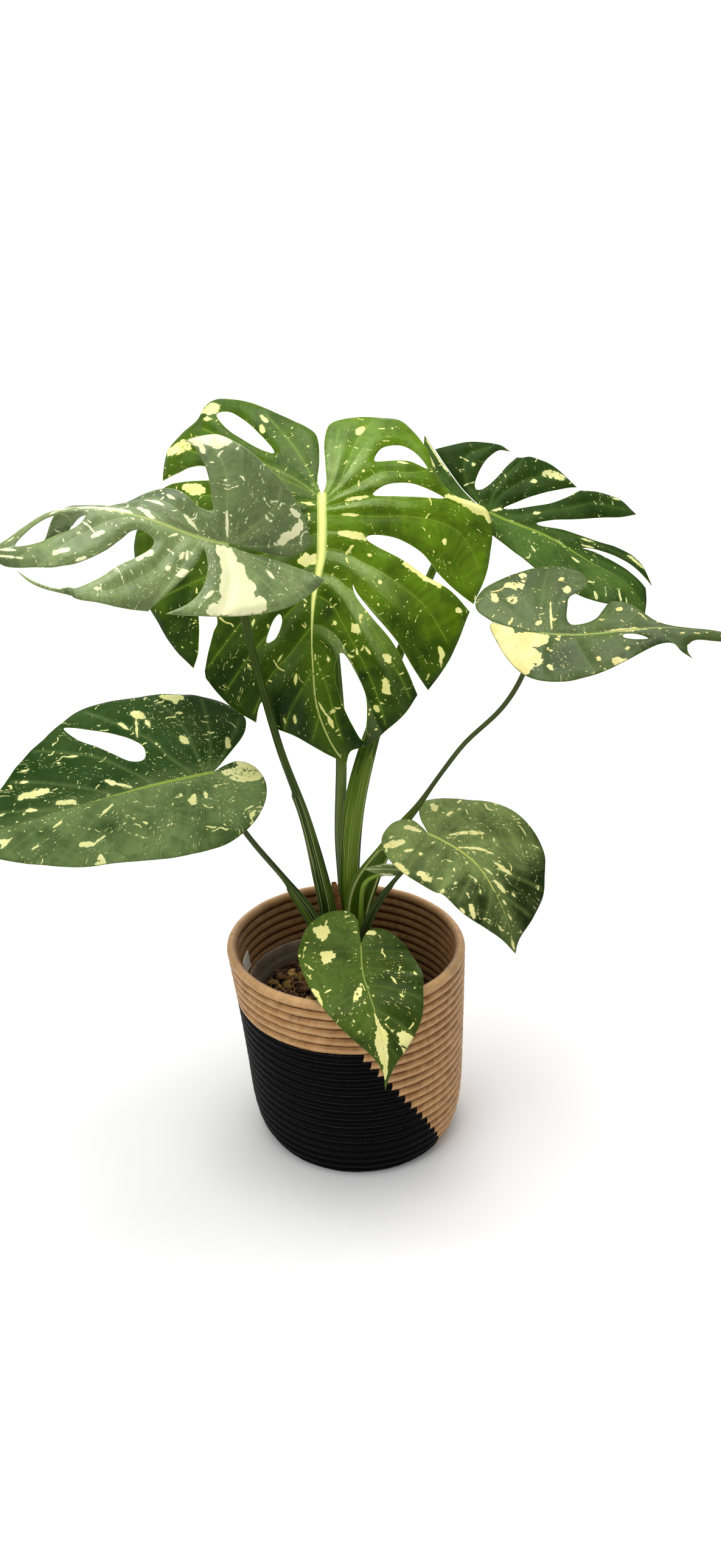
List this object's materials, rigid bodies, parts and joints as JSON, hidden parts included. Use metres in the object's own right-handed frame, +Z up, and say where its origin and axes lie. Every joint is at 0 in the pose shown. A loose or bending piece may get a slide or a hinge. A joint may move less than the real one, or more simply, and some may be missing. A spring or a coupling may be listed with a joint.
{
  "type": "potted monstera plant",
  "caption": "Potted monstera with large split, cream-marked leaves on long stalks, in a nursery pot inside a tall coiled raffia basket that tapers to its base.",
  "frame": {"origin": "centre of the basket's flat base", "axes": "+Z up from the surface that the basket stands on; -Y is the front, over which the smallest full leaf hangs; +X is to the right of someone who looks at the front"},
  "size_m": [0.8452, 0.4328, 0.947],
  "materials": {
    "leaf": "waxy leaf, green with cream sectors and specks",
    "stalk": "smooth green stalk with pale sheath edges",
    "stem": "dull green-brown, ringed",
    "dry": "papery dried sheath",
    "soil": "rough bark chips and white grit",
    "pot": "thin dull grey plastic",
    "basket": "raffia-wrapped coils, tan and black",
    "tag": "blank pale cloth"
  },
  "bodies": {
    "root": {"basket": "basket", "tag": "tag", "nursery_pot": "pot", "soil": "soil", "stem": "stem", "dry_sheath": "dry", "leaf_a": "leaf", "leaf_b": "leaf", "leaf_c": "leaf", "leaf_d": "leaf", "leaf_e": "leaf", "leaf_f": "leaf", "leaf_g": "leaf", "leaf_h": "leaf", "stalk_a": "stalk", "stalk_b": "stalk", "stalk_c": "stalk", "stalk_d": "stalk", "stalk_e": "stalk", "stalk_f": "stalk", "stalk_g": "stalk", "stalk_h": "stalk"}
  },
  "joints": []
}
